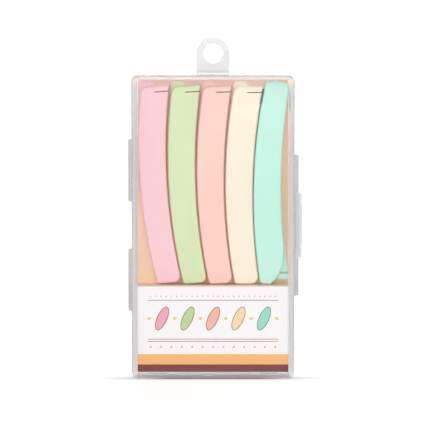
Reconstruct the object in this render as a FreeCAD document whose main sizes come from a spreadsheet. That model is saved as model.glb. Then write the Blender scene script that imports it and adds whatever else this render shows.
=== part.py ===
import FreeCAD, Part
import math
import os

import Sketcher
from FreeCAD import Placement, Rotation, Vector

# A clear hinged travel case with five small folding eyebrow razors on a folded card stand.
# Millimetres. The case stands on its bottom face: X to the right, Y to the back, Z up.
# The origin is the middle of the bottom face, and Y = 0 is the plane where the case parts.

# Driving sizes

SIZES = {
    # Case shells
    "wall": 1.2,
    "face_wall": 1.1,
    "corner_radius": 2.6,
    "face_round": 0.9,
    "rim_gap": 0.1,
    "tongue_height": 1.0,
    "tongue_thickness": 0.5,
    "tongue_clearance": 0.12,
    # Hinge ears and webs on the left side
    "side_rise": 0.5,
    "ear_height": 24.6,
    "ear_pitch": 42.3,
    "ear_reach": 1.2,
    "ear_thickness": 1.1,
    "ear_end_rise": 0.5,
    "web_thickness": 0.3,
    "web_lap": 0.5,
    # Flange and latch on the right side
    "flange_height": 55.0,
    "flange_reach": 1.8,
    "flange_thickness": 1.2,
    "flange_end_rise": 0.5,
    "latch_height": 25.0,
    "latch_wall": 1.0,
    "latch_gap": 0.15,
    "latch_hook": 0.9,
    "latch_hook_thickness": 1.1,
    "latch_lip": 0.3,
    "latch_lip_height": 15.0,
    "latch_round": 0.3,
    "latch_web_lap": 0.45,
    # Hang tab
    "tab_width": 12.6,
    "tab_height": 12.6,
    "tab_thickness": 1.2,
    "tab_hole_radius": 3.9,
    "tab_hole_height": 6.6,
    "tab_root_height": 1.0,
    "tab_fold_gap": 0.3,
    "tab_web_thickness": 0.35,
    "tab_back_inset": 0.6,
    # Ribs inside the base that the card stands on
    "rib_height": 1.4,
    "rib_width": 7.0,
    "rib_inset": 5.0,
    "rib_setback": 0.8,
    # Card
    "card_thickness": 0.4,
    "card_gap": 0.1,
    "card_foot_gap": 0.1,
    "card_side_gap": 1.0,
    "card_head_gap": 0.9,
    "card_front_gap": 0.6,
    "stand_height": 33.3,
    # Room round the razors
    "razor_back_gap": 0.3,
    "razor_foot_gap": 0.3,
    "razor_head_room": 1.5,
    "front_room": 4.6,
    "first_head_inset": 2.06,
    "first_foot_inset": 8.6,
    "head_gap": 0.8,
    "foot_gap": 0.4,
    "last_side_gap": 0.3,
    "last_head_gap": 0.94,
    # Razor outline
    "razor_length": 78.0,
    "heel_setback": 1.8,
    "blade_cover": 3.0,
    "pivot_flare": 1.7,
    "bow": 3.5,
    "bow_loss": 0.2,
    "razor_thickness": 6.8,
    "layer_gap": 0.1,
    "front_layer": 3.3,
    "razor_chamfer": 0.45,
    "back_corner_radius": 1.5,
    "edge_corner_radius": 2.7,
    "heel_back_radius": 3.0,
    "seam_setback": 2.2,
    "seam_width": 0.4,
    "seam_depth": 1.2,
    "seam_inset": 5.0,
    # Leaf end of the blade arm
    "leaf_length": 13.0,
    "leaf_step": 0.3,
    "leaf_tip": 4.0,
    "leaf_bow": 1.7,
    "tip_back_radius": 1.6,
    # Handle hollow
    "handle_skin": 1.2,
    "spine_wall": 1.3,
    "hollow_foot": 4.0,
    "hollow_head": 15.0,
    # Blade and its seat
    "blade_length": 38.0,
    "blade_width": 6.5,
    "blade_thickness": 0.3,
    "blade_foot": 8.0,
    "blade_inset": 1.2,
    "blade_shift": 1.9,
    "blade_bevel": 0.2,
    "blade_clearance": 0.65,
    "blade_hole_setback": 7.0,
    "seat_width": 3.6,
    "stud_radius": 0.9,
    "stud_height": 0.3,
    "stud_clearance": 0.1,
    "key_length": 2.6,
    "key_width": 1.5,
    # Pivot
    "pivot_setback": 6.2,
    "pivot_inset": 4.4,
    "pin_radius": 1.5,
    "pin_clearance": 0.05,
    "pin_end_gap": 0.1,
    "pin_skin": 1.1,
    # Cutting
    "overrun": 1.0,
}

RAZOR_NAMES = ["pink", "green", "peach", "cream", "mint"]
UPSIDE_DOWN = "mint"
HALF_TURN = 180.0

ORIGIN_INDEX = -1
SIDEWAYS_INDEX = -1
UPRIGHT_INDEX = -2
START_INDEX = 1
END_INDEX = 2
CENTRE_INDEX = 3


class Size:
    """A length that knows both its number and the sheet formula that gives it."""

    def __init__(self, number, formula):
        self.number = float(number)
        self.formula = formula

    def join(self, other, sign, number):
        text = other.formula if isinstance(other, Size) else repr(float(other))
        return Size(number, f"({self.formula} {sign} {text})")

    def __add__(self, other):
        return self.join(other, "+", self.number + number_of(other))

    def __sub__(self, other):
        return self.join(other, "-", self.number - number_of(other))

    def __mul__(self, other):
        return self.join(other, "*", self.number * number_of(other))

    def __truediv__(self, other):
        return self.join(other, "/", self.number / number_of(other))

    def __neg__(self):
        return Size(-self.number, f"(0 - {self.formula})")


def number_of(value):
    """The plain number of a Size or of a number."""
    return value.number if isinstance(value, Size) else float(value)


class Sheet:
    """The driving sizes as attributes, each bound to its cell in the sheet."""

    def __init__(self, doc):
        cells = doc.addObject("Spreadsheet::Sheet", "sizes")
        for row, (name, number) in enumerate(SIZES.items(), start=1):
            cells.set(f"A{row}", name)
            cells.set(f"B{row}", str(number))
            cells.setAlias(f"B{row}", name)
        doc.recompute()
        for name in SIZES:
            setattr(self, name, Size(cells.get(name), f"<<sizes>>.{name}"))


doc = FreeCAD.newDocument("eyebrow_razor_case")
s = Sheet(doc)
ZERO = Size(0, "0")

# Sizes that follow from the driving ones

free_width = s.blade_width + s.blade_cover
pivot_width = free_width + s.pivot_flare
heel_top = s.razor_length - s.heel_setback
rear_layer = s.razor_thickness - s.front_layer - s.layer_gap
inner_bow = s.bow - s.bow_loss

head_pitch = pivot_width + s.head_gap
foot_pitch = free_width + s.foot_gap
upright_count = len(RAZOR_NAMES) - 1
heads_width = s.first_head_inset + head_pitch * upright_count - s.head_gap
inside_width = heads_width + s.last_head_gap + free_width + s.last_side_gap
case_width = inside_width + s.wall * 2
half_inside = inside_width / 2
half_width = case_width / 2

card_foot = s.wall + s.rib_height + s.card_foot_gap
stand_top = card_foot + s.stand_height
razor_foot = stand_top + s.razor_foot_gap
case_height = razor_foot + s.razor_length + s.razor_head_room + s.wall
side_height = case_height / 2 + s.side_rise

inside_depth = (
    s.card_gap + s.card_thickness + s.razor_back_gap + s.razor_thickness + s.front_room
)
half_inside_depth = inside_depth / 2
half_depth = half_inside_depth + s.face_wall
card_back = half_inside_depth - s.card_gap
card_face = card_back - s.card_thickness
card_front = s.card_front_gap - half_inside_depth
razor_back = card_face - s.razor_back_gap
razor_front = razor_back - s.razor_thickness

ear_end = half_width + s.ear_reach
flange_end = half_width + s.flange_reach
tab_back = half_depth - s.tab_back_inset
tab_front = tab_back - s.tab_thickness
fold_line = case_height + s.tab_root_height
tab_foot = fold_line + s.tab_fold_gap

# Drawing and solid helpers


def new_body(name):
    """An empty body under its own label."""
    body = doc.addObject("PartDesign::Body", name)
    body.Label = name
    return body


def bind(target, name, size):
    """Sets a property from the sheet."""
    target.setExpression(name, size.formula)


def new_sketch(body, role, level=ZERO):
    """A sketch on one of the body's own planes, moved along the plane's normal to level."""
    sketch = body.newObject("Sketcher::SketchObject", f"{body.Name}_sketch")
    plane = [f for f in body.Origin.OriginFeatures if f.Role == role][0]
    sketch.AttachmentSupport = (plane, [""])
    sketch.MapMode = "FlatFace"
    sketch.AttachmentOffset = Placement(Vector(0, 0, level.number), Rotation())
    if level is not ZERO:
        bind(sketch, "AttachmentOffset.Base.z", level)
    return sketch


def hold(sketch, kind, geometry, position, size):
    """Ties one coordinate of a point to the sheet, measured from the sketch's origin."""
    if size is ZERO:
        axis = UPRIGHT_INDEX if kind == "DistanceX" else SIDEWAYS_INDEX
        sketch.addConstraint(Sketcher.Constraint("PointOnObject", geometry, position, axis))
        return
    constraint = Sketcher.Constraint(kind, ORIGIN_INDEX, START_INDEX, geometry, position, size.number)
    index = sketch.addConstraint(constraint)
    bind(sketch, f"Constraints[{index}]", size)


def line(x, y):
    """A straight run to a corner."""
    return (x, y, None)


def arc(x, y, bulge):
    """An arc to a corner that stands bulge proud of its chord, to the left of the way it runs."""
    return (x, y, bulge)


def arc_edge(start, end, bulge):
    """The arc of a drawn run, always anticlockwise, and which of its ends comes first."""
    along = end - start
    side = Vector(-along.y, along.x, 0).normalize()
    middle = (start + end) / 2 + side * bulge
    if bulge > 0:
        return Part.Arc(end, middle, start), END_INDEX, START_INDEX
    return Part.Arc(start, middle, end), START_INDEX, END_INDEX


def draw_loop(sketch, corners):
    """A closed loop of lines and arcs, each corner and radius bound to the sheet."""
    points = [Vector(number_of(x), number_of(y), 0) for x, y, bulge in corners]
    ends = []
    for i, (x, y, bulge) in enumerate(corners):
        start, end = points[i - 1], points[i]
        if bulge is None:
            index = sketch.addGeometry(Part.LineSegment(start, end))
            ends.append((index, START_INDEX, END_INDEX))
        else:
            edge, first, second = arc_edge(start, end, number_of(bulge))
            ends.append((sketch.addGeometry(edge), first, second))
    for i, (x, y, bulge) in enumerate(corners):
        index, first, second = ends[i]
        following, next_first, next_second = ends[(i + 1) % len(ends)]
        sketch.addConstraint(
            Sketcher.Constraint("Coincident", index, second, following, next_first)
        )
        hold(sketch, "DistanceX", index, second, x)
        hold(sketch, "DistanceY", index, second, y)
        if bulge is not None:
            before_x, before_y, before_bulge = corners[i - 1]
            radius = arc_radius(x - before_x, y - before_y, bulge)
            radius_index = sketch.addConstraint(
                Sketcher.Constraint("Radius", index, radius.number)
            )
            bind(sketch, f"Constraints[{radius_index}]", radius)


def arc_radius(run, rise, bulge):
    """The radius of an arc from the two sides of its chord and its height over it."""
    quarter_chord = (run * run + rise * rise) / 4
    twice = bulge * 2 if number_of(bulge) > 0 else -bulge * 2
    return (quarter_chord + bulge * bulge) / twice


CORNER_RISE_SHARE = 1 - math.sqrt(0.5)


def draw_rounded_box(sketch, left, right, low, high, radius):
    """A rectangle with quarter-round corners, drawn anticlockwise."""
    bulge = -(radius * CORNER_RISE_SHARE)
    draw_loop(
        sketch,
        [
            line(right - radius, low),
            arc(right, low + radius, bulge),
            line(right, high - radius),
            arc(right - radius, high, bulge),
            line(left + radius, high),
            arc(left, high - radius, bulge),
            line(left, low + radius),
            arc(left + radius, low, bulge),
        ],
    )


def draw_circle(sketch, x, y, radius):
    """A circle bound to the sheet."""
    centre = Vector(number_of(x), number_of(y), 0)
    index = sketch.addGeometry(Part.Circle(centre, Vector(0, 0, 1), radius.number))
    hold(sketch, "DistanceX", index, CENTRE_INDEX, x)
    hold(sketch, "DistanceY", index, CENTRE_INDEX, y)
    radius_index = sketch.addConstraint(Sketcher.Constraint("Radius", index, radius.number))
    bind(sketch, f"Constraints[{radius_index}]", radius)


def extrude(body, kind, sketch, depth, backwards):
    """A pad or pocket of the sketch, along its plane's normal or against it."""
    feature = body.newObject(kind, f"{body.Name}_{kind.split(':')[-1].lower()}")
    feature.Profile = sketch
    bind(feature, "Length", depth)
    feature.Reversed = backwards
    doc.recompute()
    return feature


def pad_back(body, sketch, depth):
    """Material from a front-view sketch towards the back (+Y)."""
    return extrude(body, "PartDesign::Pad", sketch, depth, True)


def pad_front(body, sketch, depth):
    """Material from a front-view sketch towards the front (-Y)."""
    return extrude(body, "PartDesign::Pad", sketch, depth, False)


def cut(body, sketch, depth, backwards):
    """A pocket that has to take material away."""
    before = body.Shape.Volume
    feature = extrude(body, "PartDesign::Pocket", sketch, depth, backwards)
    if body.Shape.Volume >= before:
        raise RuntimeError(f"{body.Label}: a pocket cuts nothing")
    return feature


def cut_back(body, sketch, depth):
    """A pocket from a front-view sketch towards the back (+Y)."""
    return cut(body, sketch, depth, False)


def cut_front(body, sketch, depth):
    """A pocket from a front-view sketch towards the front (-Y)."""
    return cut(body, sketch, depth, True)


def round_edges(body, picked, radius, kind="PartDesign::Fillet", name="Radius"):
    """A fillet on the picked edges of the body's last feature, or the kind that is named."""
    last_feature = body.Tip
    edges = [f"Edge{i}" for i, edge in enumerate(body.Shape.Edges, start=1) if picked(edge)]
    if not edges:
        raise RuntimeError(f"{body.Label}: no edge to round")
    feature = body.newObject(kind, f"{body.Name}_round")
    feature.Base = (last_feature, edges)
    bind(feature, name, radius)
    doc.recompute()
    return feature


def chamfer_edges(body, picked, width):
    """A chamfer on the picked edges of the body's last feature."""
    return round_edges(body, picked, width, "PartDesign::Chamfer", "Size")


NEAR = 1e-4


def on_plane(level, axis):
    """Picks the edges that lie in one plane across the named axis."""

    def picked(edge):
        box = edge.BoundBox
        low, high = getattr(box, f"{axis}Min"), getattr(box, f"{axis}Max")
        return abs(low - level.number) < NEAR and abs(high - level.number) < NEAR

    return picked


def through_corner(x, z):
    """Picks the edges that run along Y through one corner of the front view."""

    def picked(edge):
        ends = [v.Point for v in edge.Vertexes]
        if len(ends) != 2:
            return False
        return all(
            abs(p.x - number_of(x)) < NEAR and abs(p.z - number_of(z)) < NEAR for p in ends
        )

    return picked


# Case shells


def draw_case_outline(body, level=ZERO):
    """The outer outline of the case in the front view."""
    sketch = new_sketch(body, "XZ_Plane", level)
    draw_rounded_box(sketch, -half_width, half_width, ZERO, case_height, s.corner_radius)
    return sketch


def draw_inside_outline(body, spread, level=ZERO):
    """The inside outline of the case, let out by spread."""
    sketch = new_sketch(body, "XZ_Plane", level)
    reach = half_inside + spread
    radius = s.corner_radius - s.wall + spread
    draw_rounded_box(
        sketch, -reach, reach, s.wall - spread, case_height - s.wall + spread, radius
    )
    return sketch


def draw_side_plate(sketch, inner, outer, middle, height, taper):
    """A plate that stands off a side wall, with slanted ends."""
    low = middle - height / 2
    high = middle + height / 2
    draw_loop(
        sketch,
        [
            line(inner, low),
            line(outer, low + taper),
            line(outer, high - taper),
            line(inner, high),
        ],
    )


def ear_heights():
    """The middle heights of the two hinge ears."""
    return [side_height - s.ear_pitch / 2, side_height + s.ear_pitch / 2]


def add_ears(body, pad, level):
    """The two hinge ears on the left wall."""
    for middle in ear_heights():
        sketch = new_sketch(body, "XZ_Plane", level)
        inner = s.wall / 2 - half_width
        draw_side_plate(sketch, inner, -ear_end, middle, s.ear_height, s.ear_end_rise)
        pad(body, sketch, s.ear_thickness)


def add_flange(body, pad, level):
    """The long flange on the right wall."""
    sketch = new_sketch(body, "XZ_Plane", level)
    inner = half_width - s.wall / 2
    draw_side_plate(sketch, inner, flange_end, side_height, s.flange_height, s.flange_end_rise)
    pad(body, sketch, s.flange_thickness)


def add_card_ribs(body):
    """The two low ribs on the base's floor that carry the card."""
    for side in (-half_inside + s.rib_inset, half_inside - s.rib_inset - s.rib_width):
        sketch = new_sketch(body, "XZ_Plane", -s.rib_setback)
        draw_loop(
            sketch,
            [
                line(side + s.rib_width, s.wall / 2),
                line(side + s.rib_width, s.wall + s.rib_height),
                line(side, s.wall + s.rib_height),
                line(side, s.wall / 2),
            ],
        )
        pad_back(body, sketch, half_inside_depth + s.face_wall / 2 - s.rib_setback)


def make_case_base():
    """The back shell, which holds the card and carries the hinge, the flange and the hang tab."""
    body = new_body("case_base")
    pad_back(body, draw_case_outline(body), half_depth)
    round_edges(body, on_plane(half_depth, "Y"), s.face_round)
    cut_back(body, draw_inside_outline(body, ZERO), half_inside_depth)
    tongue = new_sketch(body, "XZ_Plane")
    for spread in (ZERO, s.tongue_thickness):
        reach = half_inside + spread
        radius = s.corner_radius - s.wall + spread
        low = s.wall - spread
        high = case_height - s.wall + spread
        draw_rounded_box(tongue, -reach, reach, low, high, radius)
    pad_front(body, tongue, s.tongue_height)
    add_ears(body, pad_back, ZERO)
    add_flange(body, pad_back, ZERO)
    root = new_sketch(body, "XZ_Plane", -tab_front)
    half_tab = s.tab_width / 2
    draw_loop(
        root,
        [
            line(half_tab, case_height - s.wall / 2),
            line(half_tab, fold_line),
            line(-half_tab, fold_line),
            line(-half_tab, case_height - s.wall / 2),
        ],
    )
    pad_back(body, root, s.tab_thickness)
    add_card_ribs(body)
    return body


def make_case_lid():
    """The front shell, which swings on the two hinge webs."""
    body = new_body("case_lid")
    start = s.rim_gap
    pad_front(body, draw_case_outline(body, start), half_depth - start)
    round_edges(body, on_plane(-half_depth, "Y"), s.face_round)
    cut_front(body, draw_inside_outline(body, ZERO, start), half_inside_depth - start)
    rebate = draw_inside_outline(body, s.tongue_thickness + s.tongue_clearance, start)
    cut_front(body, rebate, s.tongue_height + s.tongue_clearance - start)
    add_ears(body, pad_front, start)
    add_flange(body, pad_front, start)
    return body


def make_web(name, x, y, z, width, depth, height):
    """A thin moulded web as a plain strip from its lowest corner."""
    strip = doc.addObject("Part::Box", name)
    strip.Label = name
    for target, size in (("Length", width), ("Width", depth), ("Height", height)):
        bind(strip, target, size)
    for target, size in (("x", x), ("y", y), ("z", z)):
        bind(strip, f"Placement.Base.{target}", size)
    return strip


def make_hinge_webs():
    """The two living-hinge webs, one at each pair of ears."""
    names = ["lower_hinge_web", "upper_hinge_web"]
    height = s.ear_height - s.ear_end_rise * 2
    depth = s.rim_gap + s.web_lap * 2
    low_y = -s.rim_gap - s.web_lap
    x = -ear_end - s.web_thickness
    return [
        make_web(name, x, low_y, middle - height / 2, s.web_thickness, depth, height)
        for name, middle in zip(names, ear_heights())
    ]


# Latch


def make_latch():
    """The flap that hooks round the base's flange, in plan, padded upwards."""
    body = new_body("latch")
    foot = side_height - s.latch_height / 2
    sketch = new_sketch(body, "XY_Plane", foot)
    inner = flange_end + s.latch_gap
    outer = inner + s.latch_wall
    front = -s.rim_gap - s.flange_thickness
    catch = s.flange_thickness + s.latch_gap
    back = catch + s.latch_hook_thickness
    draw_loop(
        sketch,
        [
            line(outer, front),
            line(outer, back),
            line(flange_end - s.latch_hook, back),
            line(flange_end - s.latch_hook, catch),
            line(inner, catch),
            line(inner, front),
        ],
    )
    extrude(body, "PartDesign::Pad", sketch, s.latch_height, False)
    outside = on_plane(outer, "X")
    round_edges(body, lambda edge: outside(edge) and edge.BoundBox.YLength < NEAR, s.latch_round)
    lip = new_sketch(body, "XY_Plane", side_height - s.latch_lip_height / 2)
    draw_loop(
        lip,
        [
            line(outer - s.latch_round, back),
            line(outer + s.latch_lip, back),
            line(outer + s.latch_lip, back + s.latch_lip),
            line(flange_end, back + s.latch_lip),
            line(flange_end, back - s.latch_round),
            line(outer - s.latch_round, back - s.latch_round),
        ],
    )
    extrude(body, "PartDesign::Pad", lip, s.latch_lip_height, False)
    return body


def make_latch_web():
    """The thin strap that joins the latch to the lid's flange."""
    inner = flange_end + s.latch_gap
    y = -s.rim_gap - s.flange_thickness - s.web_thickness
    width = s.latch_gap + s.latch_web_lap * 2
    height = s.latch_height - s.latch_round * 2
    z = side_height - height / 2
    x = inner - s.latch_gap - s.latch_web_lap
    return make_web("latch_web", x, y, z, width, s.web_thickness, height)


# Hang tab


def make_hang_tab():
    """The round-headed tab with its hanging hole."""
    body = new_body("hang_tab")
    sketch = new_sketch(body, "XZ_Plane", -tab_front)
    half_tab = s.tab_width / 2
    top = tab_foot + s.tab_height
    shoulder = top - half_tab
    bulge = -(half_tab * CORNER_RISE_SHARE)
    draw_loop(
        sketch,
        [
            line(half_tab, tab_foot),
            line(half_tab, shoulder),
            arc(ZERO, top, bulge),
            arc(-half_tab, shoulder, bulge),
            line(-half_tab, tab_foot),
        ],
    )
    draw_circle(sketch, ZERO, tab_foot + s.tab_hole_height, s.tab_hole_radius)
    pad_back(body, sketch, s.tab_thickness)
    return body


def make_hang_tab_web():
    """The thin fold line under the hang tab."""
    return make_web(
        "hang_tab_web",
        -s.tab_width / 2,
        tab_front,
        fold_line,
        s.tab_width,
        s.tab_web_thickness,
        s.tab_fold_gap,
    )


# Card


def make_insert_card():
    """The printed card: a folded stand with a shelf, and a back panel behind the razors."""
    body = new_body("insert_card")
    sketch = new_sketch(body, "YZ_Plane")
    thick = s.card_thickness
    top = case_height - s.wall - s.card_head_gap
    draw_loop(
        sketch,
        [
            line(card_front, card_foot),
            line(card_back, card_foot),
            line(card_back, top),
            line(card_face, top),
            line(card_face, stand_top),
            line(card_front, stand_top),
        ],
    )
    draw_loop(
        sketch,
        [
            line(card_front + thick, card_foot + thick),
            line(card_face, card_foot + thick),
            line(card_face, stand_top - thick),
            line(card_front + thick, stand_top - thick),
        ],
    )
    pad = extrude(body, "PartDesign::Pad", sketch, inside_width - s.card_side_gap * 2, False)
    pad.SideType = "Symmetric"
    doc.recompute()
    return body


# Razors
# In a razor's own frame X runs from its closed back edge to its open edge, Y from the handle's
# outer face to the arm's outer face, and Z from the free end up to the pivot end.


def razor_outline(top):
    """The curved outline of a razor half, from the free end up to top."""
    return [
        line(free_width, ZERO),
        arc(pivot_width, top, inner_bow),
        line(ZERO, top),
        arc(ZERO, ZERO, -s.bow),
    ]


def round_free_end(body):
    """The two rounded corners at the free end."""
    round_edges(body, through_corner(ZERO, ZERO), s.back_corner_radius)
    round_edges(body, through_corner(free_width, ZERO), s.edge_corner_radius)


def pivot_height():
    """How far up the razor its pivot lies."""
    return heel_top - s.pivot_setback


# How much of the back edge's bow the hollow follows at its two ends, and between them
FOOT_BOW_SHARE = 0.2
HEAD_BOW_SHARE = 0.62
HOLLOW_BOW_SHARE = 0.6
# A shallow arc stands this times its bow, times both shares of its length, off its chord
BOW_FACTOR = 4


def make_handle(name):
    """The outer half of a razor: a curved tray, closed along its back edge."""
    body = new_body(name)
    sketch = new_sketch(body, "XZ_Plane")
    draw_loop(sketch, razor_outline(heel_top))
    pad_back(body, sketch, s.front_layer)
    round_free_end(body)
    round_edges(body, through_corner(ZERO, heel_top), s.heel_back_radius)
    chamfer_edges(body, on_plane(ZERO, "Y"), s.razor_chamfer)
    hollow = new_sketch(body, "XZ_Plane", -s.handle_skin)
    head = heel_top - s.hollow_head
    reach = pivot_width + s.overrun
    spine_foot = s.spine_wall - s.bow * FOOT_BOW_SHARE
    spine_head = s.spine_wall - s.bow * HEAD_BOW_SHARE
    draw_loop(
        hollow,
        [
            line(reach, s.hollow_foot),
            line(reach, head),
            line(spine_head, head),
            arc(spine_foot, s.hollow_foot, -(s.bow * HOLLOW_BOW_SHARE)),
        ],
    )
    cut_back(body, hollow, s.front_layer - s.handle_skin)
    hole = new_sketch(body, "XZ_Plane", -s.pin_skin)
    draw_circle(hole, s.pivot_inset, pivot_height(), s.pin_radius + s.pin_clearance)
    cut_back(body, hole, s.front_layer - s.pin_skin)
    add_seams(body)
    return body


def add_seams(body):
    """The fine groove across the heel, on the outer and the inner face."""
    low = heel_top - s.seam_setback - s.seam_width
    reach = pivot_width + s.overrun
    for level, deepen in ((ZERO, cut_back), (s.front_layer, cut_front)):
        sketch = new_sketch(body, "XZ_Plane", -level)
        draw_loop(
            sketch,
            [
                line(reach, low),
                line(reach, low + s.seam_width),
                line(s.seam_inset, low + s.seam_width),
                line(s.seam_inset, low),
            ],
        )
        deepen(body, sketch, s.seam_depth)


def seat_corners(near, far, low, high):
    """A strip beside the blade's edge, slanted with it, between two heights over its foot."""
    low_slant = s.blade_shift * low / s.blade_length
    high_slant = s.blade_shift * high / s.blade_length
    return [
        line(s.blade_inset + far - low_slant, s.blade_foot + low),
        line(s.blade_inset + far - high_slant, s.blade_foot + high),
        line(s.blade_inset + near - high_slant, s.blade_foot + high),
        line(s.blade_inset + near - low_slant, s.blade_foot + low),
    ]


def seat_middle(height):
    """The middle of the blade's seat at a height over the blade's foot."""
    across = s.blade_inset + s.blade_width - s.seat_width / 2
    return across - s.blade_shift * height / s.blade_length, s.blade_foot + height


def draw_stud(sketch, clearance):
    """The round stud at the blade's foot, or with a clearance the hole for it."""
    x, z = seat_middle(s.blade_hole_setback)
    draw_circle(sketch, x, z, s.stud_radius + clearance)


def draw_key(sketch, clearance):
    """The key near the blade's head, or with a clearance the slot for it."""
    x, z = seat_middle(s.blade_length - s.blade_hole_setback)
    across = s.key_width / 2 + clearance
    along = s.key_length / 2 + clearance
    draw_loop(
        sketch,
        [
            line(x + across, z - along),
            line(x + across, z + along),
            line(x - across, z + along),
            line(x - across, z - along),
        ],
    )


def blade_face():
    """The level of the blade's seat, in front of the arm."""
    return s.handle_skin + s.blade_clearance + s.blade_thickness


def make_arm(name):
    """The half that swings out: a plate with a leaf-shaped end that carries the blade."""
    body = new_body(name)
    level = s.front_layer + s.layer_gap
    sketch = new_sketch(body, "XZ_Plane", -level)
    draw_loop(sketch, razor_outline(s.razor_length))
    pad_back(body, sketch, rear_layer)
    leaf = new_sketch(body, "XZ_Plane", -level)
    foot = s.razor_length - s.leaf_length
    share = s.leaf_length / s.razor_length
    hollowed = inner_bow * BOW_FACTOR * (share - share * share)
    edge_x = pivot_width - s.pivot_flare * share - hollowed
    reach = pivot_width + s.overrun * 2
    over = s.razor_length + s.overrun
    draw_loop(
        leaf,
        [
            line(reach, foot),
            line(reach, over),
            line(s.leaf_tip, over),
            line(s.leaf_tip, s.razor_length),
            arc(edge_x - s.leaf_step, foot, s.leaf_bow),
        ],
    )
    cut_back(body, leaf, rear_layer)
    round_free_end(body)
    round_edges(body, through_corner(ZERO, s.razor_length), s.tip_back_radius)
    chamfer_edges(body, on_plane(s.razor_thickness, "Y"), s.razor_chamfer)
    hole = new_sketch(body, "XZ_Plane", -level)
    draw_circle(hole, s.pivot_inset, pivot_height(), s.pin_radius + s.pin_clearance)
    cut_back(body, hole, rear_layer - s.pin_skin)
    seat = new_sketch(body, "XZ_Plane", -level)
    near = s.blade_width - s.seat_width
    draw_loop(seat, seat_corners(near, s.blade_width, ZERO, s.blade_length))
    pad_front(body, seat, level - blade_face())
    for draw in (draw_stud, draw_key):
        locator = new_sketch(body, "XZ_Plane", -blade_face())
        draw(locator, ZERO)
        pad_front(body, locator, s.blade_thickness + s.stud_height)
    return body


def make_blade(name):
    """The steel strip, with a locating hole and slot and a ground edge towards the handle's back."""
    body = new_body(name)
    sketch = new_sketch(body, "XZ_Plane", -blade_face())
    draw_loop(sketch, seat_corners(ZERO, s.blade_width, ZERO, s.blade_length))
    draw_stud(sketch, s.stud_clearance)
    draw_key(sketch, s.stud_clearance)
    pad_front(body, sketch, s.blade_thickness)
    front = blade_face() - s.blade_thickness
    face = on_plane(front, "Y")
    middle = s.blade_foot.number + s.blade_length.number / 2
    edge_x = s.blade_inset.number

    def ground(edge):
        centre = edge.CenterOfMass
        return face(edge) and centre.x < edge_x and abs(centre.z - middle) < NEAR

    chamfer_edges(body, ground, s.blade_bevel)
    return body


def make_pivot_pin(name):
    """The pin that joins the two halves."""
    body = new_body(name)
    sketch = new_sketch(body, "XZ_Plane", -(s.pin_skin + s.pin_end_gap))
    draw_circle(sketch, s.pivot_inset, pivot_height(), s.pin_radius)
    length = s.razor_thickness - s.pin_skin * 2 - s.pin_end_gap * 2
    pad_back(body, sketch, length)
    return body


def place_razor(pieces, index, name):
    """Stands a razor on the shelf with its lean, and the last one upside down."""
    foot_x = s.first_foot_inset + foot_pitch * index - half_inside
    head_x = s.first_head_inset + head_pitch * index - half_inside
    if name == UPSIDE_DOWN:
        head_x = half_inside - s.last_side_gap - free_width
    lean_share = (head_x - foot_x) / s.razor_length
    lean = math.asin(lean_share.number)
    leaning = Rotation(Vector(0, 1, 0), math.degrees(lean))
    turned = leaning * Rotation(Vector(1, 0, 0), HALF_TURN)
    rise = Size(
        s.razor_length.number * math.cos(lean),
        f"({s.razor_length.formula} * cos(asin({lean_share.formula})))",
    )
    for piece in pieces:
        if name == UPSIDE_DOWN:
            piece.Placement = Placement(Vector(), turned)
            place = (head_x, razor_back, razor_foot + rise)
            piece.setExpression("Placement.Rotation.Axis.x", f"cos(asin({lean_share.formula}) / 2)")
            piece.setExpression("Placement.Rotation.Axis.z", f"-sin(asin({lean_share.formula}) / 2)")
        else:
            piece.Placement = Placement(Vector(), leaning)
            place = (foot_x, razor_front, razor_foot)
            piece.setExpression("Placement.Rotation.Angle", f"asin({lean_share.formula})")
        for axis, size in zip("xyz", place):
            bind(piece, f"Placement.Base.{axis}", size)


def make_razor(index, name):
    """The four pieces of one razor, set in their place in the case."""
    pieces = [
        make_handle(f"{name}_handle"),
        make_arm(f"{name}_arm"),
        make_blade(f"{name}_blade"),
        make_pivot_pin(f"{name}_pivot_pin"),
    ]
    place_razor(pieces, index, name)
    return pieces


# Building and writing


def check(pieces):
    """Stops if any object failed or any piece isn't one or more sound solids."""
    for item in doc.Objects:
        if "Invalid" in item.State or "Error" in item.State:
            raise RuntimeError(f"{item.Label} failed to build")
    for piece in pieces:
        shape = piece.Shape
        if shape.isNull() or not shape.isValid() or not shape.Solids:
            raise RuntimeError(f"{piece.Label} is not a sound solid")


def main():
    pieces = [make_case_base(), make_case_lid()]
    pieces += make_hinge_webs()
    pieces += [make_latch(), make_latch_web(), make_hang_tab(), make_hang_tab_web()]
    pieces.append(make_insert_card())
    for index, name in enumerate(RAZOR_NAMES):
        pieces += make_razor(index, name)
    doc.recompute()
    check(pieces)
    os.makedirs("parts", exist_ok=True)
    for piece in pieces:
        piece.Shape.exportStep(os.path.join("parts", f"{piece.Label}.step"))
    box = pieces[0].Shape.BoundBox
    print(f"{len(pieces)} pieces, base {box.XLength:.2f} x {box.YLength:.2f} x {box.ZLength:.2f}")


main()
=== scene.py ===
import math

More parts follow.
